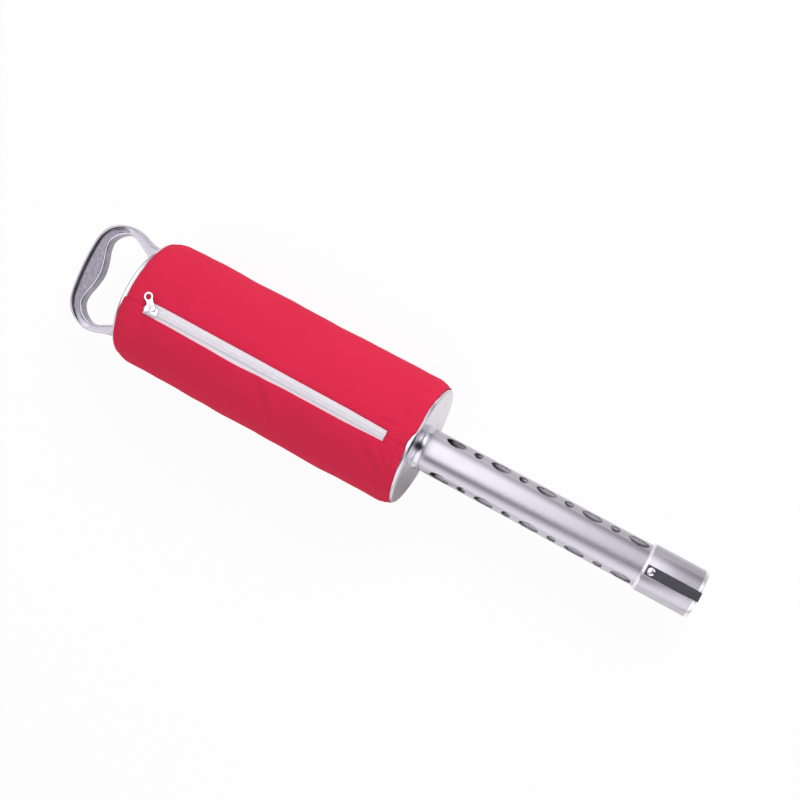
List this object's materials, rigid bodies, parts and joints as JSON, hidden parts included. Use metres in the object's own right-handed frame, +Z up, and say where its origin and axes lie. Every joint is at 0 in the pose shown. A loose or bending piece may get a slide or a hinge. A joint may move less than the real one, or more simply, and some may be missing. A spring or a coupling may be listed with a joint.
{
  "type": "golf ball pickup tool",
  "caption": "Golf ball pickup tube with a zipped red ball bag between two metal end plates, a cast D-handle and a slotted mouth with spring retainer fingers",
  "frame": {"origin": "middle of the flat underside of the bag, on the ground, halfway along the tool", "axes": "+X from the handle to the mouth along the tube, +Y to the left seen from the handle end looking along the tube with the zipper up, +Z up through the zipper"},
  "size_m": [0.742, 0.142, 0.1435],
  "materials": {
    "cast_metal": "bright die casting",
    "plated_plate": "bright plated sheet steel",
    "steel_wire": "drawn wire",
    "screw_steel": "zinc plated",
    "plug_plastic": "moulded",
    "tube_aluminium": "satin anodised",
    "sleeve_aluminium": "turned satin",
    "red_fabric": "plain weave nylon",
    "zipper_tape": "white woven tape",
    "zipper_coil": "white nylon coil",
    "slider_metal": "bright plated",
    "finger_rubber": "semi matt",
    "rivet_chrome": "bright plated"
  },
  "bodies": {
    "bag_frame": {"handle": "cast_metal", "top_end_plate": "plated_plate", "bottom_end_plate": "plated_plate", "hem_hoop_top": "steel_wire", "hem_hoop_bottom": "steel_wire", "handle_screw_left": "screw_steel", "handle_screw_right": "screw_steel", "handle_washer_left": "screw_steel", "handle_washer_right": "screw_steel", "plug_screw_1": "screw_steel", "plug_screw_2": "screw_steel", "plug_screw_3": "screw_steel", "tube_plug": "plug_plastic", "inner_tube": "tube_aluminium", "neck_socket": "plated_plate", "bag_sleeve": "red_fabric", "zipper_tape_left": "zipper_tape", "zipper_tape_right": "zipper_tape", "zipper_coil_left": "zipper_coil", "zipper_coil_right": "zipper_coil"},
    "ball_tube": {"pickup_tube": "tube_aluminium", "mouth_sleeve": "sleeve_aluminium", "finger_rivet_1": "rivet_chrome", "finger_rivet_2": "rivet_chrome", "finger_rivet_3": "rivet_chrome"},
    "finger_1": {"retainer_finger_1": "finger_rubber"},
    "finger_2": {"retainer_finger_2": "finger_rubber"},
    "finger_3": {"retainer_finger_3": "finger_rubber"},
    "slider": {"zipper_slider": "slider_metal"},
    "pull_tab": {"zipper_pull_tab": "slider_metal"}
  },
  "joints": [
    {"name": "tube_pull", "type": "slide", "parent": "bag_frame", "child": "ball_tube", "axis": [1, 0, 0], "range_m": [0, 0.034]},
    {"name": "finger_1_bend", "type": "hinge", "parent": "ball_tube", "child": "finger_1", "pos_m": [0.3187, 0.00147, 0.09161], "axis": [0, -0.9981, 0.061], "range_deg": [0, 2.5], "stiffness_Nm_per_rad": 3},
    {"name": "finger_2_bend", "type": "hinge", "parent": "ball_tube", "child": "finger_2", "pos_m": [0.3187, 0.02005, 0.05433], "axis": [0, 0.5519, 0.8339], "range_deg": [0, 2.5], "stiffness_Nm_per_rad": 3},
    {"name": "finger_3_bend", "type": "hinge", "parent": "ball_tube", "child": "finger_3", "pos_m": [0.3187, -0.02152, 0.05687], "axis": [0, 0.4462, -0.8949], "range_deg": [0, 2.5], "stiffness_Nm_per_rad": 3},
    {"name": "zipper_slide", "type": "slide", "parent": "bag_frame", "child": "slider", "axis": [1, 0, 0], "range_m": [0, 0.267]},
    {"name": "pull_tab_flip", "type": "hinge", "parent": "slider", "child": "pull_tab", "pos_m": [-0.245, 0, 0.1417], "axis": [0.7431, 0.6691, 0], "range_deg": [0, 170]}
  ]
}
